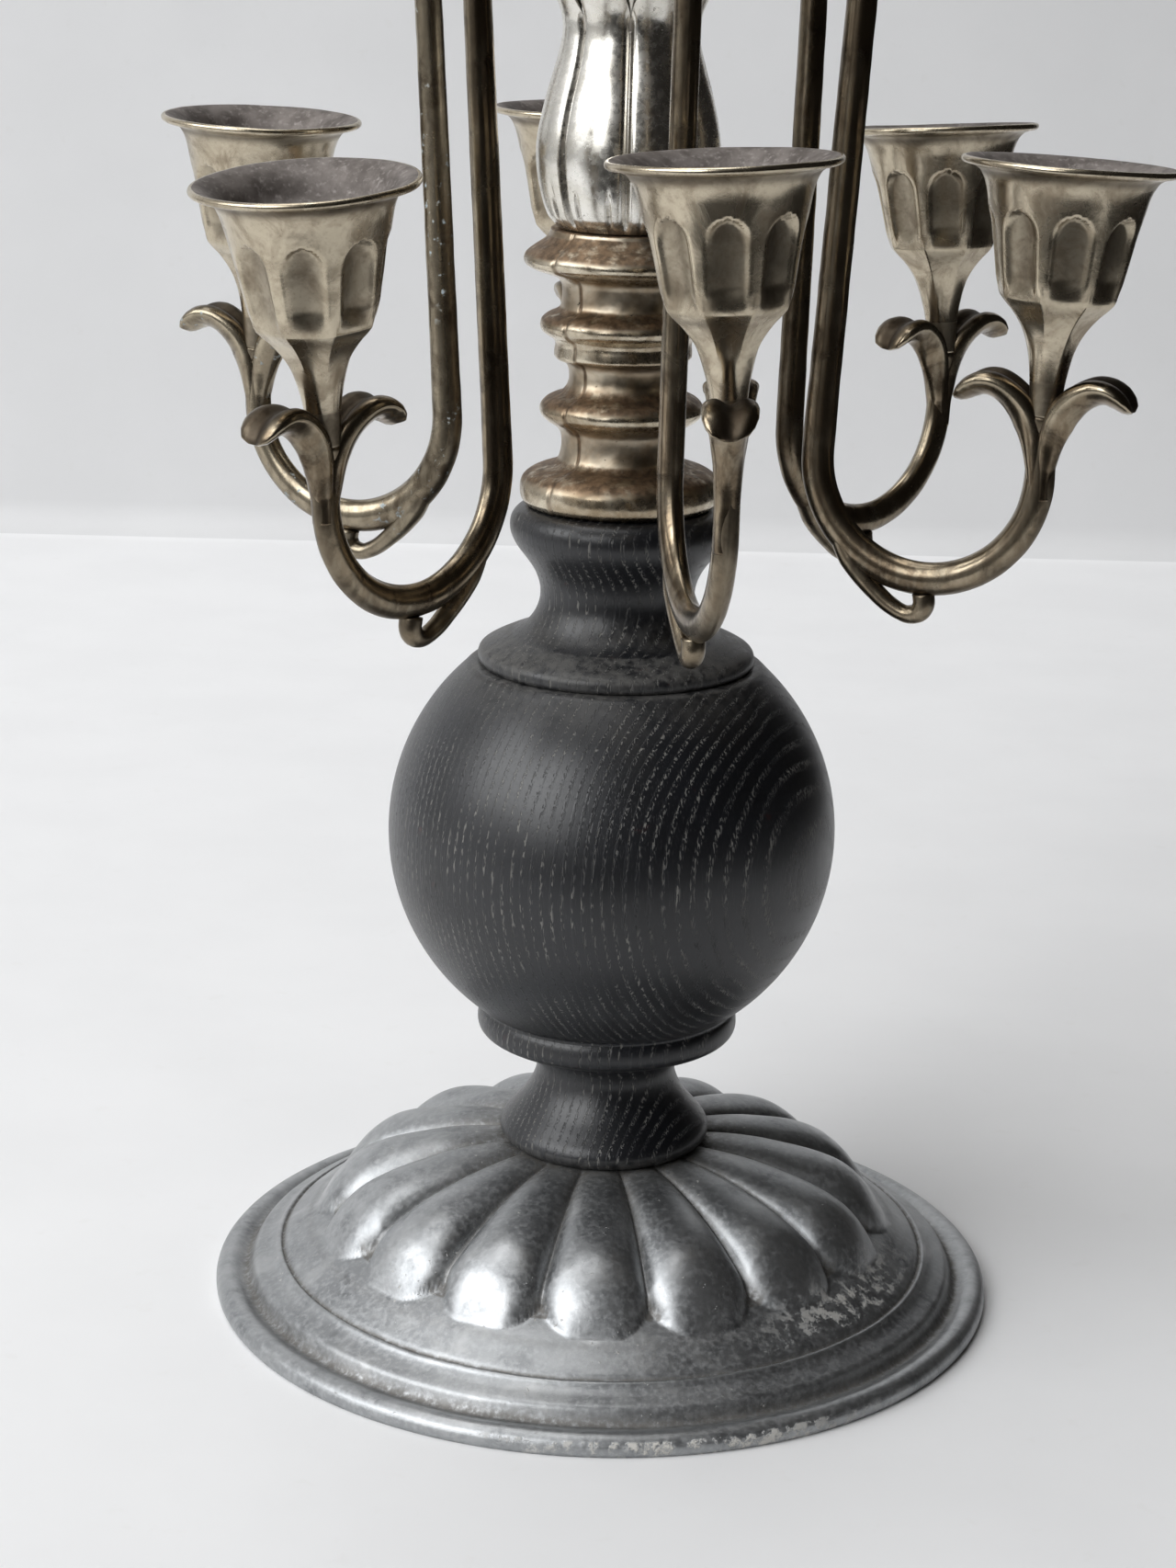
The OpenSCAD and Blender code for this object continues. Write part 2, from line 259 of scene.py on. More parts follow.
def ebonised_oak():
    """Black-stained oak: rings of a log whose heart lies well behind and to one side of the post."""
    f = Finish("ebonised_oak")
    heart_az, heart_mm, ring_mm = math.radians(64), 170.0, 2.0
    heart_x = -math.sin(heart_az) * heart_mm * MM
    heart_y = math.cos(heart_az) * heart_mm * MM
    wander = f.add("ShaderNodeTexNoise", Vector=f.stretched(1, 1, 0.25), Scale=1000 / 38,
                   Detail=2.0).outputs["Color"]
    bent = f.add("ShaderNodeVectorMath", {"operation": "MULTIPLY_ADD"})
    f.feed(bent.inputs[0], wander)
    bent.inputs[1].default_value = (0.006, 0.006, 0)
    f.feed(bent.inputs[2], f.place)
    from_heart = f.add("ShaderNodeVectorMath", {"operation": "SUBTRACT"})
    f.feed(from_heart.inputs[0], bent.outputs[0])
    from_heart.inputs[1].default_value = (heart_x, heart_y, 0)
    flat = f.add("ShaderNodeVectorMath", {"operation": "MULTIPLY"})
    f.feed(flat.inputs[0], from_heart.outputs[0])
    flat.inputs[1].default_value = (1, 1, 0)
    length = f.add("ShaderNodeVectorMath", {"operation": "LENGTH"})
    f.feed(length.inputs[0], flat.outputs[0])
    phase = f.maths("FRACT", f.times(length.outputs["Value"], 1000 / ring_mm), 0.0)
    early = f.ramp(phase, (0.0, 1.0), (0.10, 1.0), (0.34, 0.0), (0.9, 0.0), (1.0, 1.0), ease="LINEAR")
    pores = f.noise(0.38, 1.0, 0.4, at=f.stretched(1, 1, 0.22))
    dash = f.times(f.mask(pores, 0.52, 0.60), early)
    small = f.noise(0.3, 1.0, 0.5, at=f.stretched(1, 1, 0.08))
    hair = f.times(f.mask(small, 0.60, 0.70), 0.35)
    filled = f.mask(f.noise(12, 3, 0.6), 0.34, 0.62)
    dust = f.times(f.painted("dust"), f.mask(f.noise(2.4, 4, 0.6), 0.3, 0.65))
    wood = f.ramp(f.noise(22, 4, 0.6), (0.3, (0.0032, 0.0036, 0.005)), (0.7, (0.0065, 0.0074, 0.0102)))
    wood = f.mix(f.times(early, 0.35), wood, (0.014, 0.015, 0.018))
    red = f.times(f.mask(f.noise(5, 4, 0.65), 0.66, 0.74), f.mask(f.noise(30, 1), 0.5, 0.62))
    wood = f.mix(f.times(red, 0.5), wood, (0.05, 0.008, 0.007))
    pale = f.mix(filled, (0.008, 0.008, 0.009), (0.19, 0.185, 0.17))
    wood = f.mix(f.times(dash, 0.85), wood, pale)
    wood = f.mix(hair, wood, (0.022, 0.022, 0.024))
    wood = f.mix(f.times(dust, 0.5), wood, (0.15, 0.145, 0.135))
    rough = f.blend(f.noise(3, 4), 0.34, 0.44)
    rough = f.blend(dash, rough, 0.75)
    rough = f.blend(f.times(dust, 0.7), rough, 0.85)
    lathe_lines = f.noise(0.7, 2.0, 0.5, at=f.stretched(0.02, 0.02, 1))
    relief = f.bump(f.less(1.0, dash), 0.16)
    relief = f.bump(f.less(1.0, hair), 0.05, relief)
    relief = f.bump(early, 0.05, relief, 0.7)
    relief = f.bump(lathe_lines, 0.015, relief, 0.5)
    f.set(Base_Color=wood, Roughness=rough, Normal=relief, Coat_Weight=0.3, Coat_Roughness=0.3)
    f.shader.inputs["Specular IOR Level"].default_value = 0.5
    return f.material


def silver_plate(name, tarnish, polish, dull, bright):
    """Worn bright plate: brown where dust settles, with black pits and cloudy patches."""
    f = Finish(name)
    cloud = f.noise(11, 4, 0.6, warp=0.5)
    fine = f.noise(1.6, 4, 0.6)
    metal = f.ramp(cloud, (0.3, dull), (0.7, bright))
    up = f.mask(f.facing_up(), 0.1, 0.7)
    brown = f.times(up, f.mask(f.noise(3.5, 5, 0.65), 0.22, 0.52))
    brown = f.times(f.larger(brown, f.painted("grime")), tarnish)
    metal = f.mix(brown, metal, f.ramp(fine, (0.3, (0.10, 0.066, 0.042)), (0.7, (0.26, 0.175, 0.11))))
    pits = f.times(f.mask(f.noise(1.2, 3, 0.7), 0.66, 0.70), f.mask(f.noise(9, 2, 0.6), 0.5, 0.62))
    pits = f.times(pits, tarnish)
    metal = f.mix(pits, metal, (0.018, 0.014, 0.012))
    rough = f.blend(f.mask(fine, 0.3, 0.7), polish, polish + 0.12)
    rough = f.blend(brown, rough, 0.55)
    rough = f.blend(pits, rough, 0.8)
    relief = f.bump(cloud, 0.06, strength=0.5)
    relief = f.bump(fine, 0.02, relief, 0.5)
    relief = f.bump(f.less(1.0, pits), 0.15, relief)
    metallic = f.maths("SUBTRACT", 1.0, f.times(pits, 0.9), clamp=True)
    f.set(Base_Color=metal, Metallic=metallic, Roughness=rough, Normal=relief)
    return f.material


def tarnished_silver(name, dark, light, rough_low, bloom=0.0, wear=(0.42, 0.66)):
    """Old silvered brass: dark brown tarnish, rubbed warm on the high places."""
    f = Finish(name)
    cloud = f.noise(7, 5, 0.62, warp=0.6)
    streak = f.noise(2.2, 4.0, 0.5, at=f.stretched(1, 1, 0.3))
    fine = f.noise(0.9, 4, 0.6)
    metal = f.mix(f.mask(cloud, 0.32, 0.62), dark, light)
    metal = f.mix(f.times(f.mask(streak, *wear), 0.28), metal, (0.50, 0.44, 0.33))
    metal = f.mix(f.times(f.painted("rubbed"), 0.5), metal, (0.58, 0.51, 0.38))
    metal = f.mix(f.times(f.painted("grime"), 0.8), metal, (0.035, 0.026, 0.02))
    metal = f.mix(f.times(f.mask(fine, 0.5, 0.72), 0.22), metal, (0.09, 0.07, 0.05))
    spots = f.times(f.mask(f.noise(2.2, 5, 0.65), 0.60, 0.68), f.mask(f.noise(16, 2), 0.46, 0.58))
    spots = f.times(spots, bloom)
    metal = f.mix(spots, metal, (0.42, 0.50, 0.54))
    rough = f.blend(f.mask(cloud, 0.35, 0.65), rough_low + 0.10, rough_low)
    rough = f.blend(f.times(f.painted("grime"), 0.8), rough, 0.6)
    rough = f.blend(spots, rough, 0.8)
    relief = f.bump(cloud, 0.10, strength=0.5)
    relief = f.bump(streak, 0.04, relief, 0.6)
    relief = f.bump(fine, 0.02, relief, 0.6)
    metallic = f.maths("SUBTRACT", 1.0, f.times(spots, 0.8), clamp=True)
    f.set(Base_Color=metal, Metallic=metallic, Roughness=rough, Normal=relief)
    return f.material


def cup_inside():
    """The inside of a cup, in darker and duller colours than its outside, and less metallic."""
    f = Finish("cup_inside")
    mottle = f.noise(5, 5, 0.6)
    colour = f.ramp(mottle, (0.3, (0.10, 0.085, 0.076)), (0.7, (0.22, 0.195, 0.18)))
    colour = f.mix(f.mask(f.noise(1.2, 4, 0.6), 0.5, 0.8), colour, (0.34, 0.31, 0.29))
    f.set(Base_Color=colour, Metallic=0.45, Roughness=f.blend(mottle, 0.55, 0.75), Normal=f.bump(mottle, 0.1))
    return f.material


def fixing_steel():
    f = Finish("fixing_steel")
    cloud = f.noise(3, 4, 0.6)
    colour = f.ramp(cloud, (0.3, (0.30, 0.29, 0.27)), (0.7, (0.50, 0.50, 0.50)))
    f.set(Base_Color=colour, Metallic=0.95, Roughness=f.blend(cloud, 0.3, 0.5), Normal=f.bump(cloud, 0.05))
    return f.material


def pale_surface(name, tone):
    f = Finish(name)
    cloud = f.noise(60, 3, 0.5)
    spot = f.mask(f.noise(9, 4, 0.6), 0.62, 0.72)
    colour = f.ramp(cloud, (0.3, (tone, tone, tone * 1.005)), (0.7, (tone * 1.03, tone * 1.03, tone * 1.035)))
    colour = f.mix(f.times(spot, 0.2), colour, (tone * 0.93, tone * 0.92, tone * 0.9))
    f.set(Base_Color=colour, Roughness=0.55)
    return f.material


# ---------------------------------------------------------------- mesh building


def flow(points, step=0.6):
    """A smooth line through (r, z) points, in mm; a third entry of 1 marks a corner."""
    runs, run = [], []
    for point in points:
        run.append(point[:2])
        if len(point) > 2 and len(run) > 1:
            runs.append(run)
            run = [point[:2]]
    if len(run) > 1:
        runs.append(run)
    line = []
    for run in runs:
        knots = np.array(run, float)
        before = np.vstack([2 * knots[0] - knots[1], knots, 2 * knots[-1] - knots[-2]])
        for i in range(len(knots) - 1):
            p0, p1, p2, p3 = before[i:i + 4]
            count = max(2, int(math.ceil(np.linalg.norm(p2 - p1) / step)))
            t = np.linspace(0, 1, count, endpoint=False)[:, None]
            line.append(catmull(p0, p1, p2, p3, t))
    line.append(np.array([points[-1][:2]], float))
    return np.vstack(line)


def catmull(p0, p1, p2, p3, t):
    """Centripetal Catmull-Rom between p1 and p2."""
    k = [0.0]
    for a, b in ((p0, p1), (p1, p2), (p2, p3)):
        k.append(k[-1] + max(np.linalg.norm(b - a), 1e-6) ** 0.5)
    u = k[1] + t * (k[2] - k[1])
    a1 = (k[1] - u) / (k[1] - k[0]) * p0 + (u - k[0]) / (k[1] - k[0]) * p1
    a2 = (k[2] - u) / (k[2] - k[1]) * p1 + (u - k[1]) / (k[2] - k[1]) * p2
    a3 = (k[3] - u) / (k[3] - k[2]) * p2 + (u - k[2]) / (k[3] - k[2]) * p3
    b1 = (k[2] - u) / (k[2] - k[0]) * a1 + (u - k[0]) / (k[2] - k[0]) * a2
    b2 = (k[3] - u) / (k[3] - k[1]) * a2 + (u - k[1]) / (k[3] - k[1]) * a3
    return (k[2] - u) / (k[2] - k[1]) * b1 + (u - k[1]) / (k[2] - k[1]) * b2


def smoothstep(low, high, x):
    t = np.clip((x - low) / (high - low), 0, 1)
    return t * t * (3 - 2 * t)


def wavy(points, size_mm, seed=0.0):
    """Smooth noise from -1 to 1 at each point, with features of that size."""
    scaled = np.asarray(points) / size_mm + seed
    return np.array([noise.noise(p) for p in scaled.tolist()])


def grid_faces(rows, cols, wrap_rows=False):
    """Quads over rings of points, ring by ring; wrap_rows joins the last ring to the first."""
    r = np.arange(rows if wrap_rows else rows - 1)
    rr, cc = np.meshgrid(r, np.arange(cols), indexing="ij")
    a = rr * cols + cc
    b = rr * cols + (cc + 1) % cols
    d = ((rr + 1) % rows) * cols + cc
    e = ((rr + 1) % rows) * cols + (cc + 1) % cols
    return np.stack([a, b, e, d], -1).reshape(-1, 4).tolist()


def tube_faces(rows, columns):
    """The faces of a tube with closed ends, whose two tip points come after its rings."""
    last, tip = (rows - 1) * columns, rows * columns
    faces = grid_faces(rows, columns)
    faces += [[(i + 1) % columns, i, tip] for i in range(columns)]
    faces += [[last + i, last + (i + 1) % columns, tip + 1] for i in range(columns)]
    return faces


def run_lengths(line):
    """How far along the line each of its points lies."""
    return np.concatenate([[0], np.cumsum(np.linalg.norm(np.diff(line, axis=0), axis=1))])


def unit_rows(v):
    return v / np.maximum(np.linalg.norm(v, axis=1)[:, None], 1e-6)


def piece(name, verts, faces, material, body, replaced, paint=None):
    """A smooth mesh object, in mm, that rides on a body and stands for CAD nodes."""
    mesh = bpy.data.meshes.new(name)
    mesh.from_pydata((np.asarray(verts, float) * MM).tolist(), [], faces)
    mesh.validate()
    mesh.polygons.foreach_set("use_smooth", np.ones(len(mesh.polygons), bool))
    for key, values in (paint or {}).items():
        layer = mesh.attributes.new(key, "FLOAT", "POINT")
        layer.data.foreach_set("value", np.asarray(values, np.float32))
    mesh.update()
    obj = bpy.data.objects.new(name, mesh)
    bpy.context.scene.collection.objects.link(obj)
    outward(mesh)
    mesh.materials.append(material)
    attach(obj, body)
    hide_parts(replaced)
    return obj


def outward(mesh):
    """Turns a closed mesh right side out, by the sign of its volume."""
    co = np.zeros(len(mesh.vertices) * 3)
    mesh.vertices.foreach_get("co", co)
    co = co.reshape(-1, 3)
    mesh.calc_loop_triangles()
    tri = np.zeros(len(mesh.loop_triangles) * 3, np.int32)
    mesh.loop_triangles.foreach_get("vertices", tri)
    a, b, c = (co[tri.reshape(-1, 3)[:, i]] for i in range(3))
    if np.einsum("ij,ij->i", a, np.cross(b, c)).sum() < 0:
        mesh.flip_normals()


def turned(profile, columns):
    """Points of a closed profile turned round the axis, with azimuth 0 at the front."""
    az = np.linspace(0, 2 * math.pi, columns, endpoint=False)
    r, z = profile[:, :1], profile[:, 1:]
    x, y = r * np.sin(az), -r * np.cos(az)
    return np.stack([x, y, np.broadcast_to(z, x.shape)], -1), np.broadcast_to(az, x.shape)


# ---------------------------------------------------------------- foot

GADROONS = 16
ROD_HOLE = 4.6
FOOT_CORE = [(20.5, 35.5, 1), (22, 34.6), (25, 34.0), (30, 33.0), (36, 31.2), (42, 28.9), (48, 25.9),
             (54, 22.3), (60, 18.7), (66, 15.6), (70, 12.8), (72.7, 10.8), (73.2, 10.2, 1), (73.7, 9.75),
             (74.1, 10.15), (74.7, 10.05), (75.4, 9.3), (76.6, 8.45), (78.4, 7.65), (79.6, 7.1),
             (80.2, 6.5), (80.7, 5.4), (81.3, 4.3), (82.1, 3.65), (83.2, 3.75), (84.4, 4.3), (85.6, 4.6),
             (86.8, 4.45), (87.8, 3.95), (88.5, 3.3, 1), (88.95, 2.3), (88.9, 0.8), (88.4, 0.0, 1),
             (80.9, 0, 1), (80.4, 0.5), (78, 2.6), (72, 7), (64, 11.8), (56, 15.6), (48, 19.6), (40, 23),
             (30, 25.95), (20, 26), (ROD_HOLE, 26, 1), (ROD_HOLE, 35.45, 1), (20.5, 35.5, 1)]
RIDGE = [(19, 35.3), (24, 35.6), (29, 35.4), (36, 34.7), (41, 33.7), (46, 32.6), (50, 31.4), (54, 29.7),
         (57, 27.7), (60, 25.0), (62.5, 21.8), (64.5, 18.4), (66, 15.2), (67.2, 12.5)]


def foot():
    """A turned casting whose dome swells into ridges, each with a round end."""
    core = flow(FOOT_CORE, 0.5)[:-1]
    verts, az = turned(core, GADROONS * 36)
    rho = np.hypot(verts[..., 0], verts[..., 1])
    pitch = 2 * math.pi / GADROONS
    off = (az + math.radians(1.0) + pitch / 2) % pitch - pitch / 2
    along, aside = rho * np.cos(off), rho * np.abs(np.sin(off))
    ridge = flow(RIDGE, 0.3)
    crest = np.interp(along, ridge[:, 0], ridge[:, 1])
    tip, bulb = 67.0, 11.0
    half = np.minimum(along * math.tan(pitch / 2) * 1.005, 11.3)
    round_end = np.clip(tip - along, 0, None)
    narrowed = half * np.sqrt(np.clip(1 - (1 - round_end / bulb) ** 2, 0, 1))
    half = np.where(round_end < bulb, narrowed, half)
    inside = (along < tip) & (aside < half) & (rho > 20.4) & (verts[..., 2] > 8)
    upper = np.arange(len(core)) < core[:, 0].argmax()
    inside &= upper[:, None]
    share = np.where(inside, 1 - (aside / np.maximum(half, 1e-6)) ** 2, 0)
    rise = np.clip(crest - verts[..., 2], 0, None) * np.sqrt(np.clip(share, 0, 1)) ** 1.05
    flat = verts.reshape(-1, 3)
    height = rise.reshape(-1)
    flat[:, 2] += height
    sway = wavy(flat, 14, 3.1) * 0.16 * upper.repeat(verts.shape[1]) * (flat[:, 2] > 1.5)
    flat[:, 2] += sway
    up = np.repeat(upper, verts.shape[1])
    r = rho.reshape(-1)
    band = lambda mid, width: np.exp(-((r - mid) / width) ** 2) * up
    valley = np.where((r > 22) & (r < 62) & up, np.exp(-(height / 2.2) ** 2), 0)
    grime = np.clip(valley * 0.9 + band(73.6, 0.5) + band(81.8, 1.2) * 0.9 + band(67.4, 0.9) * 0.2
                    + band(21.5, 1.8), 0, 1)
    rubbed = np.clip(np.clip(share, 0, 1).reshape(-1) ** 2 * smoothstep(40, 60, r) * up + band(85.8, 1.6)
                     + band(74.4, 0.5) * 0.8, 0, 1)
    a = (az.reshape(-1) + math.pi) % (2 * math.pi) - math.pi
    front = np.exp(-((a - 0.22) / 0.42) ** 2)
    side = np.exp(-((a - 0.95) / 0.35) ** 2)
    chips = np.clip(front * ((r > 88.2) & (flat[:, 2] < 3.6))
                    + side * 0.8 * smoothstep(62, 67, r) * (r < 72) * up, 0, 1)
    faces = grid_faces(len(core), verts.shape[1], wrap_rows=True)
    piece("foot_casting", flat, faces, cast_zinc(), "root", "foot",
          {"grime": grime, "rubbed": rubbed, "chips": chips})


# ---------------------------------------------------------------- turned post

BALL_R, BALL_Z = 49.8, 109.0


def ball_arc(z0, z1, count=30):
    """Points of the ball's outline between two heights."""
    a = np.linspace(math.asin((z0 - BALL_Z) / BALL_R), math.asin((z1 - BALL_Z) / BALL_R), count)
    return [(BALL_R * math.cos(t), BALL_Z + BALL_R * math.sin(t)) for t in a]


POST = [(21.4, 35.5, 1), (22.6, 36.0), (23.5, 37.0), (23.85, 38.3), (23.3, 40.0), (21.4, 42.4), (18.9, 45.4),
        (16.9, 48.6), (15.85, 51.6), (15.7, 53.4), (16.1, 55.4), (16.9, 57.0), (17.6, 57.9, 1),
        (22, 59.2), (26.2, 60.8), (28.6, 62.2), (29.25, 63.4), (29.3, 65.4), (28.9, 66.9),
        (28.5, 67.5, 1)] + ball_arc(68.2, 147.2) + [
        (28.7, 147.5, 1), (29.8, 147.6), (30.25, 148.1), (30.35, 149.6), (29.9, 150.6), (28.6, 151.5),
        (26.6, 152.5), (24.6, 153.4), (22.0, 154.4), (20.0, 155.8), (18.3, 158.0), (17.2, 160.6),
        (16.9, 162.9), (17.2, 165.4), (18.4, 168.4), (20.3, 171.2), (22.3, 173.8), (23.5, 176.2),
        (23.8, 178.2), (23.4, 180.1), (22.2, 181.6),
        (20.4, 182.5, 1), (ROD_HOLE, 182.5, 1), (ROD_HOLE, 35.5, 1), (21.4, 35.5, 1)]


def turned_post():
    line = flow(POST, 0.55)[:-1]
    columns = 320
    verts, _ = turned(line, columns)
    flat = verts.reshape(-1, 3)
    z, r = flat[:, 2], np.hypot(flat[:, 0], flat[:, 1])
    dust = np.clip(smoothstep(22, 26, r) * (z > 150) * (z < 154) + 0.55 * (z > 147) * (z < 154)
                   + 0.5 * np.exp(-((z - 157) / 3) ** 2) + 0.35 * smoothstep(138, 147, z) * (z < 148)
                   + 0.5 * (z < 38.5), 0, 1)
    piece("turned_post_oak", flat, grid_faces(len(line), columns, wrap_rows=True), ebonised_oak(), "root",
          "turned_post", {"dust": dust})


# ---------------------------------------------------------------- ring collar, vase, hub and stem

SEAM_AZ = math.radians(-44)
COLLAR = [(19.4, 182.5, 1), (20.4, 183.0), (21.2, 183.9), (21.6, 185.0), (21.7, 186.4), (21.5, 187.8),
          (20.8, 189.1), (19.2, 190.2), (16.8, 191.1), (14.9, 191.7), (13.7, 192.6), (13.1, 194.2),
          (12.85, 196), (12.9, 197.6), (13.3, 199.0), (14.4, 200.2), (16.2, 201.3), (17.3, 202.4),
          (17.7, 203.4), (17.5, 204.5), (16.6, 205.6), (15, 206.5), (13.2, 207.2), (12.2, 208.2),
          (11.6, 209.6), (11.5, 211.2), (11.8, 212.8), (12.6, 213.9), (14.2, 214.5, 1), (14.75, 215.0),
          (14.8, 216.4), (14.7, 217.9), (15.2, 218.9), (16.6, 219.8), (17.6, 220.7), (18.0, 221.7),
          (17.7, 222.8), (16.6, 223.8), (14.9, 224.6), (13.8, 225.4), (13.35, 226.8), (13.3, 228.8),
          (13.5, 230.6), (14.5, 231.9), (17, 232.9), (19.8, 233.8), (21.2, 234.6), (21.6, 235.6),
          (21.2, 236.8), (19.6, 238.2), (17.6, 239.6), (16.4, 240.8), (15.9, 242, 1), (ROD_HOLE, 242, 1),
          (ROD_HOLE, 182.5, 1), (19.4, 182.5, 1)]


def seam_ridge(az, width=0.018):
    """1 along the two lines where the casting's mould halves met."""
    gap = lambda centre: np.abs((az - centre + math.pi) % (2 * math.pi) - math.pi)
    return np.exp(-(gap(SEAM_AZ) / width) ** 2) + np.exp(-(gap(SEAM_AZ + math.pi) / width) ** 2)


def ring_collar(material):
    """A cast stack of rings whose two halves sit a little off each other along the seam."""
    line = flow(COLLAR, 0.4)[:-1]
    columns = 384
    verts, az = turned(line, columns)
    flat, a = verts.reshape(-1, 3).copy(), az.reshape(-1)
    r = np.hypot(flat[:, 0], flat[:, 1])
    outer = r > ROD_HOLE + 1
    side = np.sin(a - SEAM_AZ)
    half_step = np.tanh(side * 40)
    wobble = wavy(flat, 6, 7.7) * 0.14 + wavy(flat, 2.2, 1.7) * 0.05
    r2 = r + np.where(outer, wobble - seam_ridge(a) * 0.30 - 0.10 * half_step, 0)
    inside_stack = outer & (flat[:, 2] > 184) & (flat[:, 2] < 241)
    flat[:, 2] += np.where(inside_stack, 0.16 * half_step, 0)
    flat[:, 0], flat[:, 1] = r2 * np.sin(a), -r2 * np.cos(a)
    neck = np.exp(-((r - 12.6) / 1.5) ** 2) * outer * 0.5
    grime = np.clip(neck + seam_ridge(a, 0.03) * 0.6, 0, 1)
    piece("ring_collar_casting", flat, grid_faces(len(line), columns, wrap_rows=True), material, "root",
          "ring_collar", {"grime": grime})


PETALS = 8
VASE = [(15.2, 242.2), (16.2, 243.4), (17.4, 245.6), (18.4, 248.6), (19.2, 252.4), (19.65, 256.4),
        (19.6, 260.4), (18.95, 265), (17.7, 270), (16.2, 275), (15.1, 279.2), (14.6, 282.8),
        (14.75, 285.4), (15.5, 288), (16.9, 290.8), (18.8, 293.6), (20.6, 295.8), (21.7, 297)]
VASE_INNER = [(20.9, 297), (19.2, 295.4), (16.9, 292.6), (15, 290), (13.6, 287.4), (12.9, 284),
              (12.8, 280), (13.8, 274), (14.4, 270), (14, 265), (12.6, 262.6), (11, 262, 1),
              (ROD_HOLE, 262, 1), (ROD_HOLE, 242.2, 1)]


def tulip(name, wall, inner, notch_base, tip_z, offset, columns, material, node):
    """A ring of petals in one wall, whose top edge dips to a notch between neighbours.

    Rings of points run up the outside, over the top edge, down the petals' backs and down the inner line.
    """
    outer_line = flow(wall, 0.45)
    pitch = 2 * math.pi / PETALS
    az1 = np.linspace(0, 2 * math.pi, columns, endpoint=False)
    off = (az1 - offset) % pitch
    apart = np.minimum(off, pitch - off) / (pitch / 2)
    top = notch_base + (tip_z - notch_base) * np.clip(apart, 0, 1) ** 0.52
    low = outer_line[0, 1]
    rows = []
    split = notch_base - 2
    body = outer_line[outer_line[:, 1] <= split]
    for r, z in body:
        rows.append((np.full(columns, r), np.full(columns, z)))
    count = 34
    curl_r, curl_z = outer_line[:, 0], outer_line[:, 1]
    for t in np.linspace(0, 1, count)[1:]:
        z = split + (top - split) * t
        rows.append((np.interp(z, curl_z, curl_r), z))
    outer_rows = len(rows)
    inner_line = flow(inner, 0.6)
    thick = 1.0
    for t in np.linspace(1, 0, count)[:-1]:
        z = split + (top - split) * t
        rows.append((np.interp(z, curl_z, curl_r) - thick - 0.25 * (1 - t), z + 0.12))
    for r, z in inner_line[inner_line[:, 1] <= split]:
        rows.append((np.full(columns, r), np.full(columns, z)))
    R = np.array([row[0] for row in rows])
    Z = np.array([row[1] for row in rows])
    az = np.broadcast_to(az1, R.shape)
    outside = np.zeros(R.shape)
    outside[:outer_rows] = 1
    edge = np.minimum((az - offset) % pitch, pitch - (az - offset) % pitch)
    height = smoothstep(low, low + 3.0, Z)
    cut = np.exp(-(edge * R / 0.75) ** 2) * 0.9 * height * (1 - smoothstep(notch_base - 1, notch_base + 3, Z))
    soft = np.clip(np.sin(edge / pitch * math.pi), 0, 1) ** 0.7 * height
    quarter = np.abs(edge - pitch / 4)
    flutes = np.exp(-(quarter * R / 0.5) ** 2) * 0.8 * np.exp(-((Z - low - 4.5) / 3.6) ** 2)
    seam = seam_ridge(az, 0.014) * 0.25
    R = R + outside * (soft - 0.8 - cut - flutes - seam)
    verts = np.stack([R * np.sin(az), -R * np.cos(az), Z], -1).reshape(-1, 3)
    away = verts[:, :2] / np.maximum(np.hypot(verts[:, 0], verts[:, 1])[:, None], 1e-6)
    verts[:, :2] += away * (wavy(verts, 7, 5.5) * 0.16 * outside.reshape(-1))[:, None]
    grime = np.clip(cut * 0.5 + flutes * 0.4 + (1 - outside) * 0.7 * (Z > 262) + seam * 1.5
                    + 0.5 * (1 - smoothstep(low, low + 2.2, Z)), 0, 1).reshape(-1)
    faces = grid_faces(len(rows), columns, wrap_rows=True)
    piece(name, verts, faces, material, "root", node, {"grime": grime})


def tulip_vase(material):
    tulip("tulip_vase_petals", VASE, VASE_INNER, 285.2, 296.8, math.radians(-1), 768, material,
          "tulip_vase")
    inner_wall = [(11.2, 268), (11.6, 276), (11.9, 282), (12.6, 286), (14.2, 289.6), (16.4, 292.4),
                  (18.2, 294.2)]
    inner_back = [(17.4, 294), (13.4, 289.6), (11.3, 286), (10.4, 282), (10.2, 276), (9.9, 268)]
    tulip("tulip_vase_inner_petals", inner_wall, inner_back, 285.0, 294.2, math.radians(21.5), 384, material,
          "tulip_vase")


HUB = [(8.6, 262, 1), (8.6, 290), (9.2, 293.6), (11.2, 297.0), (14.6, 299.8), (18.4, 301.6),
       (21.2, 303.2), (22.3, 305.2), (22.5, 307.6), (21.4, 309.2), (20.9, 310.2), (21.4, 311.2),
       (22.5, 312.8), (22.5, 315.0), (21.8, 316.9), (20.2, 318, 1), (11, 318, 1), (10.4, 319.6),
       (9.7, 321), (9.2, 322, 1), (4.0, 322, 1), (4.0, 262, 1), (8.6, 262, 1)]
STEM = [(9.2, 322, 1), (9.6, 322.8), (9.6, 323.9), (8.8, 325.0), (7.2, 325.8), (6.2, 327.0),
        (5.95, 328.6), (6.6, 330.2), (8.0, 331.6), (8.8, 333.0), (9.0, 334.2), (8.6, 335.4), (7.4, 336.6),
        (6.0, 337.8), (5.1, 339.6), (4.5, 342), (4.0, 344), (3.8, 346, 1), (1.6, 346, 1), (1.6, 335.5, 1),
        (4.0, 335.5, 1), (4.0, 322, 1), (9.2, 322, 1)]


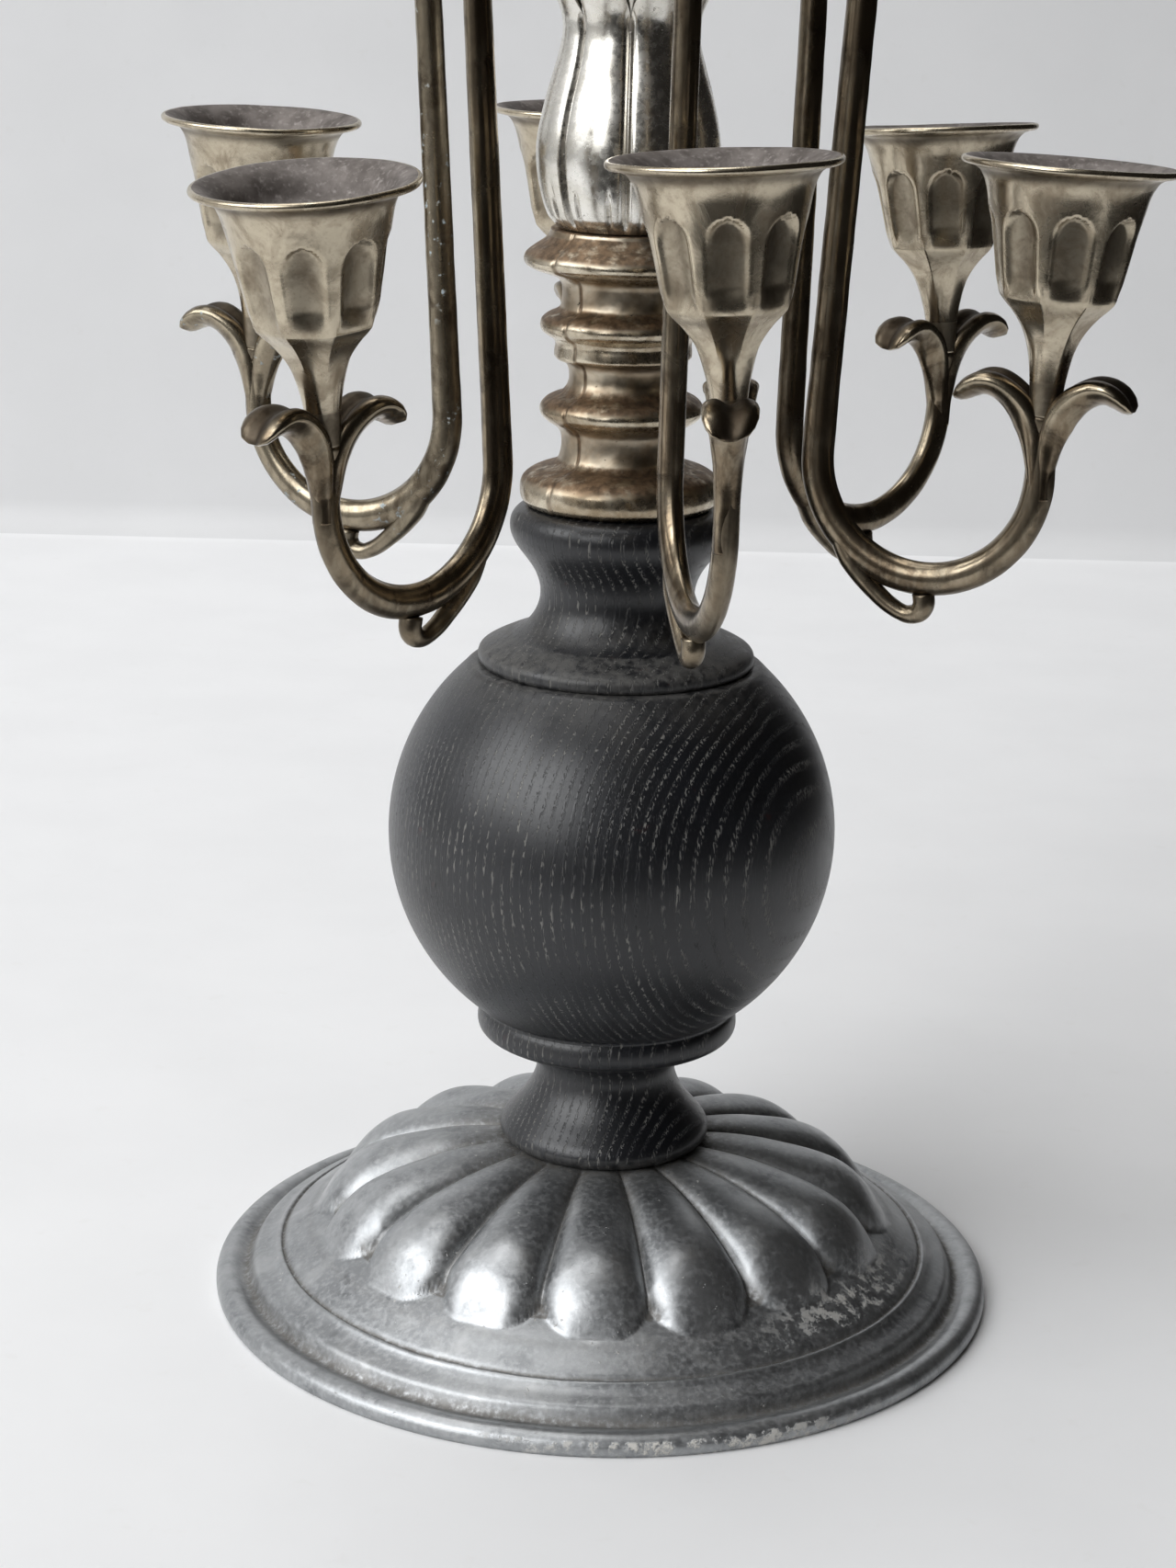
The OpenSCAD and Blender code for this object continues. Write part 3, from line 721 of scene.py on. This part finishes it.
def plain_turned(name, points, columns, material, node):
    line = flow(points, 0.4)[:-1]
    verts, az = turned(line, columns)
    flat, a = verts.reshape(-1, 3), az.reshape(-1)
    r = np.hypot(flat[:, 0], flat[:, 1])
    r2 = r + np.where(r > 6, wavy(flat, 5, 2.2) * 0.08 - seam_ridge(a) * 0.2, 0)
    flat[:, 0], flat[:, 1] = r2 * np.sin(a), -r2 * np.cos(a)
    grime = np.clip(seam_ridge(a, 0.03) * 0.5 + np.exp(-((flat[:, 2] - 310.2) / 0.8) ** 2), 0, 1)
    return piece(name, flat, grid_faces(len(line), columns, wrap_rows=True), material, "root", node,
                 {"grime": grime})


def drill(obj, places, radius, low, high):
    """Cuts blind round holes into a piece."""
    sides = 48
    az = np.linspace(0, 2 * math.pi, sides, endpoint=False)
    for x, y in places:
        ring = np.stack([x + radius * np.cos(az), y + radius * np.sin(az)], -1)
        verts = [(*p, low) for p in ring] + [(*p, high) for p in ring]
        faces = [[i, (i + 1) % sides, sides + (i + 1) % sides, sides + i] for i in range(sides)]
        faces += [list(range(sides))[::-1], list(range(sides, 2 * sides))]
        mesh = bpy.data.meshes.new("cutter")
        mesh.from_pydata((np.array(verts) * MM).tolist(), [], faces)
        cutter = bpy.data.objects.new("cutter", mesh)
        bpy.context.scene.collection.objects.link(cutter)
        mod = obj.modifiers.new("hole", "BOOLEAN")
        mod.operation, mod.solver, mod.object = "DIFFERENCE", "EXACT", cutter
        bpy.context.view_layer.objects.active = obj
        with bpy.context.temp_override(object=obj, active_object=obj):
            bpy.ops.object.modifier_apply(modifier=mod.name)
        bpy.data.objects.remove(cutter)
        bpy.data.meshes.remove(mesh)


# ---------------------------------------------------------------- cups

CUP_OUT = [(1.7, 0.0, 1), (3.2, 0.0, 1), (3.3, 2.0), (3.45, 5.0), (3.75, 8.0), (4.2, 10.6), (4.9, 13.4),
           (6.0, 16.2), (7.4, 18.6), (9.2, 20.9), (11.2, 22.9), (12.0, 23.8, 1), (12.35, 24.6),
           (12.9, 27.0), (13.6, 30.5), (14.4, 35), (15.2, 39.4), (16.0, 43.2), (16.6, 45.6), (17.3, 47.4),
           (18.0, 48.5), (19.0, 49.3), (20.4, 49.7), (21.6, 49.95), (22.1, 50.4), (22.12, 51.0),
           (21.7, 51.4), (20.8, 51.35), (19.4, 50.8), (17.6, 49.5), (16.2, 47.6), (14.9, 44.8),
           (13.0, 43.0), (11.3, 41.8), (11.25, 36), (11.25, 30.6), (10.6, 29.3), (9.4, 29.0, 1),
           (3.2, 29.0, 1), (3.2, 26.8, 1), (1.7, 26.8, 1), (1.7, 0.0, 1)]


def cup(k, where, axis, metal, inside, body):
    """Cup k (0 is the centre one): eight arched flutes sunk in a flared bowl, on an eight-sided stem."""
    line = flow(CUP_OUT, 0.5)[:-1]
    columns = 256
    az = np.linspace(0, 2 * math.pi, columns, endpoint=False)
    R = np.broadcast_to(line[:, :1], (len(line), columns)).copy()
    Z = np.broadcast_to(line[:, 1:], (len(line), columns)).copy()
    lip = int(line[:, 0].argmax())
    outer = (np.arange(len(line)) < lip)[:, None] & (Z > 0.3) & (R > 3)
    pitch = math.pi / 4
    off = np.abs((az + pitch / 2) % pitch - pitch / 2)
    aside = off[None, :] * R
    half = np.interp(Z[:, :1], [23, 30, 42], [4.1, 4.6, 5.0])
    crown = 36.4
    arch = np.sqrt(np.clip(1 - ((Z - crown) / 5.0).clip(0, None) ** 2, 0, 1))
    inside_flute = 1 - smoothstep(0.68, 1.0, aside / np.maximum(half * np.maximum(arch, 0.02), 1e-6))
    tall = smoothstep(23.6, 29.0, Z) * (Z < crown + 5.0)
    hollow = 1.8 * np.clip(1 - (aside / half) ** 2, 0, 1)
    sunk = inside_flute * tall * hollow
    facets = (1 - np.cos(math.pi / 8) / np.cos(off))[None, :] * R
    facets = facets * smoothstep(12, 20, Z) * (1 - smoothstep(23.8, 28, Z))
    R = R - np.where(outer, sunk + facets, 0)
    verts = np.stack([R * np.sin(az), -R * np.cos(az), Z], -1).reshape(-1, 3)
    skin = outer & np.ones(columns, bool)
    sway = wavy(verts + 40.0 * k, 6, 0.3) * 0.10
    length = np.maximum(np.hypot(verts[:, 0], verts[:, 1]), 1e-6)
    shift = np.where(skin.reshape(-1) & (verts[:, 2] < 48), sway, 0)
    verts[:, :2] *= (1 + shift / length)[:, None]
    dent = wavy(verts * (1, 1, 0) + 40.0 * k, 15, 0.9) * 0.28
    verts[:, 2] += np.where(verts[:, 2] > 49, np.minimum(dent, 0), 0)
    edge = np.exp(-((aside / half - 0.95) / 0.16) ** 2) * tall * arch
    lip_zone = np.exp(-((Z - 51.1) / 0.7) ** 2) * (R > 20)
    rubbed = np.clip(edge * 0.5 * outer + lip_zone * 0.8
                     + np.exp(-((Z - 23.8) / 0.6) ** 2) * 0.5 * outer, 0, 1)
    grime = np.clip(sunk * 0.22 + 0.7 * np.exp(-((Z - 48.6) / 1.0) ** 2) * outer
                    + 0.5 * (Z < 7) * outer, 0, 1)
    verts = stand(verts, where, axis)
    faces = grid_faces(len(line), columns, wrap_rows=True)
    label = "centre_cup" if k == 0 else f"cup_{k}"
    obj = piece(label + "_casting", verts, faces, metal, body, label,
                {"grime": grime.reshape(-1), "rubbed": rubbed.reshape(-1)})
    obj.data.materials.append(inside)
    rows = np.repeat(np.arange(len(line)), columns)
    dark = (rows > lip + 3) & (rows < len(line))
    index = np.where(dark[:len(obj.data.polygons)], 1, 0).astype(np.int32)
    obj.data.polygons.foreach_set("material_index", index)


def stand(verts, where, axis):
    """Stands a piece's own frame at a place, leaning its z axis along axis."""
    up = np.asarray(axis, float) / np.linalg.norm(axis)
    side = np.cross((0, 1, 0), up)
    side /= np.linalg.norm(side)
    ahead = np.cross(up, side)
    return verts @ np.array([side, ahead, up]) + np.asarray(where)


# ---------------------------------------------------------------- arms

FIRST_AZ = 11.5
SOCKET_RING, SOCKET_R = 16.0, 2.65
CENTRE_CUP_Z = 346.0
PALE_ARM = 4          # counted from 0
CUP_RING, BEND_R, BEND_Z = 92.0, 24.4, 197.0
ROD_LOW, ROD_HIGH, ARCH_Z, SHOULDER_Z = 43.2, 51.0, 332.0, 318.05
CUP_TURN = [1.2, -1.3, -4.5, -5, -7, 10]
ROD_LOW_TURN = [2, 2.5, -10.5, -5, -8, 13]
ROD_HIGH_TURN = [1, 2, -3.5, -1.5, -6.5, 8.5]
CUP_Z = 208.5
CUP_LEAN = [-3, 2.9, -2.8, 0, 1.6, -3.7]
CUP_NOD = [-0.5, -1.7, -3.9, 0, 1.8, 5.5]
CUP_LIFT = [6, 1, 0.5, 0, 0.5, -1]
LEAF_TURN = [14, 0, 0, 0, 0, 0]


def around(az_deg, r, z=0.0):
    a = math.radians(az_deg)
    return np.array([r * math.sin(a), -r * math.cos(a), z])


def unit(v):
    return v / np.linalg.norm(v)


class ArmPlan:
    """Plan points of arm k and the direction of its lower bend."""

    def __init__(self, k):
        even = FIRST_AZ + 60 * k
        self.socket = around(even, SOCKET_RING)
        self.hang = around(even + ROD_HIGH_TURN[k], ROD_HIGH)
        self.seat = around(even + CUP_TURN[k], CUP_RING)
        self.out = unit(self.seat - around(even + ROD_LOW_TURN[k], ROD_LOW))
        self.low = self.seat - self.out * 2 * BEND_R
        self.side = np.array([-self.out[1], self.out[0], 0])
        turn = math.radians(LEAF_TURN[k])
        self.leaf_out = self.out * math.cos(turn) - self.side * math.sin(turn)
        self.lift = CUP_LIFT[k]
        self.base = self.seat + np.array([0, 0, CUP_Z + self.lift])
        lean, nod = math.radians(CUP_LEAN[k]), math.radians(CUP_NOD[k])
        self.axis = np.array([math.sin(lean) * math.cos(nod), -math.sin(nod),
                              math.cos(lean) * math.cos(nod)])

    def beside(self, s, z):
        """A point in the bend's plane: s outward from the cup's seat, at height z."""
        return self.seat + self.out * s + np.array([0, 0, z])


def arm_path(plan):
    """Centre line of an arm from its shoulder, over the arch, down the rod and round the bend."""
    up = np.array([0, 0, 1.0])
    lift = [plan.socket + up * z for z in np.linspace(SHOULDER_Z + 2, ARCH_Z, 14)]
    mid, r = (plan.socket + plan.hang) / 2, np.linalg.norm(plan.hang - plan.socket) / 2
    over = unit(plan.hang - plan.socket)
    arch = [mid - over * r * math.cos(a) + up * (ARCH_Z + r * math.sin(a))
            for a in np.linspace(0, math.pi, 60)[1:]]
    top, bottom = plan.hang + up * ARCH_Z, plan.low + up * BEND_Z
    rod = [top + (bottom - top) * t for t in np.linspace(0, 1, 130)[1:]]
    bend = [plan.beside(-BEND_R - BEND_R * math.cos(a), BEND_Z - BEND_R * math.sin(a))
            for a in np.linspace(0, math.pi, 80)[1:]]
    riser = [plan.beside(0, z) for z in np.linspace(BEND_Z, 205.5 + plan.lift, 9)[1:]]
    line = np.array(lift + arch + rod + bend + riser)
    return soften(respace(line, 1.0), 5)


def respace(line, step):
    """The same line with even steps."""
    run = run_lengths(line)
    even = np.linspace(0, run[-1], int(run[-1] / step) + 1)
    return np.stack([np.interp(even, run, line[:, i]) for i in range(3)], -1)


def soften(line, passes):
    for _ in range(passes):
        line[1:-1] = line[1:-1] * 0.5 + (line[:-2] + line[2:]) * 0.25
    return line


def strand(line, side, half_in, half_side, columns=32, seam=0.0):
    """An oval rod along a line; half_in and half_side are its half sizes in and across its plane."""
    tangent = unit_rows(np.gradient(line, axis=0))
    side = np.broadcast_to(side, tangent.shape)
    across = unit_rows(side - tangent * np.einsum("ij,ij->i", side, tangent)[:, None])
    inward = np.cross(across, tangent)
    a = np.linspace(0, 2 * math.pi, columns, endpoint=False)
    ridge = seam * np.exp(-(np.sin(a) / 0.10) ** 2) * np.sign(np.cos(a))
    rings = (line[:, None, :] + inward[:, None, :] * (half_in[:, None] * np.cos(a) + ridge)[..., None]
             + across[:, None, :] * (half_side[:, None] * np.sin(a))[..., None])
    verts = np.vstack([rings.reshape(-1, 3), line[0], line[-1]])
    return verts, tube_faces(len(line), columns), a


LEAF_LINE = [(0.7, 192), (0.9, 198), (1.6, 203.0), (2.9, 207.2), (5.0, 210.8), (7.8, 213.3),
             (10.6, 214.6), (13.2, 214.6), (15.4, 213.6), (16.9, 212.3), (17.7, 211.2), (18.0, 210.5)]
LEAF_HALF = [(1.8, 2.3), (2.2, 2.5), (3.0, 2.9), (3.6, 3.5), (3.6, 4.2), (3.3, 4.9), (3.1, 5.4),
             (2.8, 5.6), (2.5, 5.4), (2.0, 4.7), (1.4, 3.6), (0.5, 1.4)]
CURL_LINE = [(-44.6, 185), (-43.0, 180.2), (-40.7, 175.8), (-37.6, 171.9), (-34.2, 168.6), (-30.6, 165.9),
             (-27.2, 164.6), (-24.7, 165.2), (-23.6, 167.0), (-23.8, 169.4)]


def leaf(plan, out):
    """One leaf that curls away from the riser, with rounded sides and a hollow along its top.

    out is 1 for the outer leaf and -1 for the inner one.
    """
    columns = 36
    middle = flow(LEAF_LINE, 0.5)
    run_k, run_l = run_lengths(np.array(LEAF_LINE)), run_lengths(middle)
    run_l *= run_k[-1] / run_l[-1]
    thick = np.interp(run_l, run_k, [h[0] for h in LEAF_HALF])
    wide = np.interp(run_l, run_k, [h[1] for h in LEAF_HALF])
    rise = [plan.lift * float(smoothstep(193, 204, z)) for _, z in middle]
    line = np.array([plan.seat + plan.leaf_out * out * s + (0, 0, z + up)
                     for (s, z), up in zip(middle, rise)])
    tangent = unit_rows(np.gradient(line, axis=0))
    side = plan.side * out
    under_way = unit_rows(np.cross(np.broadcast_to(side, tangent.shape), tangent))
    a = np.linspace(0, 2 * math.pi, columns, endpoint=False)
    ca, sa = np.cos(a), np.sin(a)
    rows = []
    for i in range(len(line)):
        spread = smoothstep(0.18, 0.5, run_l[i] / run_l[-1])
        # underside is keeled, upper side has a shallow trough
        under = np.where(ca > 0, ca * (1 - 0.35 * spread * np.abs(sa) ** 1.2), ca)
        trough = np.where(ca < 0, 0.55 * spread * np.exp(-(sa / 0.35) ** 2), 0)
        keel = (under + trough) * thick[i] - 0.8 * spread * np.abs(sa) ** 2.5
        rows.append(line[i] + under_way[i] * keel[:, None] + side * (wide[i] * sa)[:, None])
    verts = np.vstack([np.array(rows).reshape(-1, 3), line[0], line[-1]])
    t = np.repeat(run_l / run_l[-1], columns)
    angle = np.tile(a, len(line))
    rim = np.exp(-(np.cos(angle) / 0.3) ** 2) * smoothstep(0.3, 0.5, t)
    hollow = np.exp(-((np.cos(angle) + 1) / 0.25) ** 2) * smoothstep(0.1, 0.3, t)
    return verts, tube_faces(len(line), columns), np.append(rim, [0, 1]), np.append(hollow, [0, 0])


def join(parts):
    """Joins lists of (points, faces, rubbed, grime)."""
    verts, faces, rubbed, grime, start = [], [], [], [], 0
    for v, f, r, g in parts:
        verts.append(v)
        faces += [[i + start for i in face] for face in f]
        rubbed.append(r)
        grime.append(g)
        start += len(v)
    return np.vstack(verts), faces, np.concatenate(rubbed), np.concatenate(grime)


def arm(k, material):
    """Arm k in one casting: rod, two leaves, curl, cup seat and peg."""
    plan = ArmPlan(k)
    line = arm_path(plan)
    columns = 32
    run = run_lengths(line)
    left = run[-1] - run
    bend_len = math.pi * BEND_R + 8
    half_in = np.interp(left, [0, 10, 30, 60, bend_len, bend_len + 20, bend_len + 90],
                        [3.0, 3.1, 3.2, 3.6, 3.5, 3.3, 3.05])
    half_side = np.interp(left, [0, 12, bend_len, bend_len + 60], [2.6, 2.5, 2.7, 2.75])
    turn = smoothstep(bend_len, bend_len + 125, left)[:, None]
    over = unit(plan.hang - plan.socket)
    side = plan.side * (1 - turn) + np.array([-over[1], over[0], 0]) * turn
    v, f, a = strand(line, side, half_in, half_side, columns, seam=0.18)
    angle = np.append(np.tile(a, len(line)), [0, 0])
    ridge = np.exp(-(np.sin(angle) / 0.22) ** 2)
    drop = np.append(np.repeat(left, columns), [0, 0])
    rubbed = np.clip(ridge * 0.45 + 0.25 * (np.sin(drop / 17.0) > 0.4), 0, 1)
    grime = 0.48 * smoothstep(0.35, 0.95, np.cos(angle))
    parts = [(v, f, rubbed, grime), leaf(plan, 1), leaf(plan, -1)]
    curl = np.array([plan.beside(s, z) for s, z in flow(CURL_LINE, 0.5)])
    t = np.linspace(0, 1, len(curl))
    thick = np.interp(t, [0, 0.12, 0.3, 0.55, 0.75, 0.9, 1], [0.8, 2.2, 2.5, 2.0, 1.8, 2.3, 2.4])
    v, f, _ = strand(curl, plan.side, thick, thick * 1.05, columns=20)
    parts.append((v, f, np.full(len(v), 0.3), np.full(len(v), 0.25)))
    parts.append(seat_cone(plan))
    parts.append(peg(plan))
    verts, faces, rubbed, grime = join(parts)
    verts += (wavy(verts, 5, 1.0 + k) * 0.10)[:, None] * unit_rows(verts * (1, 1, 0))
    piece(f"arm_{k + 1}_casting", verts, faces, material, f"swing_arm_{k + 1}", f"arm_{k + 1}",
          {"rubbed": rubbed, "grime": grime})


def lathe_part(points, columns, place):
    """A small closed turned form with end caps at the axis; place maps its own frame to the object's."""
    line = flow(points, 0.5)
    az = np.linspace(0, 2 * math.pi, columns, endpoint=False)
    x = line[:, :1] * np.cos(az)
    y = line[:, :1] * np.sin(az)
    z = np.broadcast_to(line[:, 1:], x.shape)
    verts = np.stack([x, y, z], -1).reshape(-1, 3)
    ends = np.array([[0, 0, line[0, 1]], [0, 0, line[-1, 1]]])
    verts = place(np.vstack([verts, ends]))
    return verts, tube_faces(len(line), columns), np.full(len(verts), 0.2), np.full(len(verts), 0.3)


def seat_cone(plan):
    """The end of the riser that the cup stands on."""
    points = [(1.5, -5.5, 1), (2.2, -4), (2.8, -2.2), (3.2, -0.6), (3.1, -0.05, 1), (1.6, -0.05, 1)]
    return lathe_part(points, 28, lambda v: stand(v, plan.base, plan.axis))


def peg(plan):
    """The peg that stands in the hub, with the shoulder that rests on it."""
    points = [(2.0, 305.5, 1), (2.6, 306.2, 1), (2.6, 317.8), (2.6, 318.1, 1), (4.1, 318.1, 1),
              (4.35, 318.6), (4.4, 319.6), (4.2, 320.6), (3.5, 321.4), (3.1, 322.4), (2.9, 324),
              (2.8, 326, 1)]
    return lathe_part(points, 32, lambda v: v + plan.socket)


# ---------------------------------------------------------------- the whole

camera()

table = bpy.data.objects.new("table", bpy.data.meshes.new("table"))
NEAR, FAR, TALL, LEFT, RIGHT, SWEEP = -0.4, 0.80, 1.0, -1.4, 0.5, 0.016
ring = [(NEAR, 0.0)] + [(FAR - SWEEP + SWEEP * math.sin(t), SWEEP - SWEEP * math.cos(t))
                        for t in np.linspace(0, math.pi / 2, 9)] + [(FAR, TALL)]
table.data.from_pydata([(x, y, z) for y, z in ring for x in (LEFT, RIGHT)], [],
                       [[2 * i, 2 * i + 1, 2 * i + 3, 2 * i + 2] for i in range(len(ring) - 1)])
table.data.polygons.foreach_set("use_smooth", np.ones(len(table.data.polygons), bool))
table.data.materials.append(pale_surface("pale_table", 0.84))
table.data.materials.append(pale_surface("pale_wall", 0.70))
table.data.polygons.foreach_set("material_index", [int(i > 2) for i in range(len(ring) - 1)])
bpy.context.scene.collection.objects.link(table)

area_light("window", (-2.5, -1.35, 2.0), (0, 0.1, 0.12), 2.7, 2.2, 72, (0.97, 0.985, 1.0))
area_light("window_end", (-1.15, -1.95, 1.35), (0, 0, 0.2), 0.9, 1.6, 17, (0.98, 0.99, 1.0))
area_light("overhead", (-0.35, 0.2, 2.1), (0, 0.15, 0), 1.6, 1.0, 14)
room()

scene = bpy.context.scene
scene.view_settings.view_transform = "Standard"

collar_metal = silver_plate("collar_plate", 0.95, 0.20, (0.30, 0.235, 0.155), (0.70, 0.63, 0.50))
vase_metal = silver_plate("vase_plate", 0.35, 0.19, (0.68, 0.65, 0.58), (0.86, 0.84, 0.79))
arm_metal = tarnished_silver("arm_tarnish", (0.07, 0.052, 0.035), (0.23, 0.18, 0.122), 0.18)
pale_arm_metal = tarnished_silver("arm_tarnish_pale", (0.09, 0.07, 0.048), (0.28, 0.235, 0.17), 0.2,
                                  bloom=0.9)
cup_metal = tarnished_silver("cup_tarnish", (0.31, 0.255, 0.185), (0.56, 0.49, 0.375), 0.2)
inside_metal = cup_inside()
steel = fixing_steel()

foot()
turned_post()
ring_collar(collar_metal)
tulip_vase(vase_metal)
hub = plain_turned("arm_hub_casting", HUB, 256, collar_metal, "arm_hub")
drill(hub, [tuple(ArmPlan(k).socket[:2]) for k in range(ARMS)], SOCKET_R, 305.0, 325.0)
plain_turned("centre_stem_turning", STEM, 128, collar_metal, "centre_stem")
for k in range(ARMS):
    plan = ArmPlan(k)
    arm(k, pale_arm_metal if k == PALE_ARM else arm_metal)
    cup(k + 1, plan.base, plan.axis, cup_metal, inside_metal, f"swing_arm_{k + 1}")
cup(0, (0, 0, CENTRE_CUP_Z), (0, 0, 1), cup_metal, inside_metal, "root")
for name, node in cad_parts.items():
    if name.startswith(("cup_screw", "centre_cup_screw", "foot_nut", "foot_washer", "tie_rod")):
        node.data.materials.clear()
        node.data.materials.append(steel)
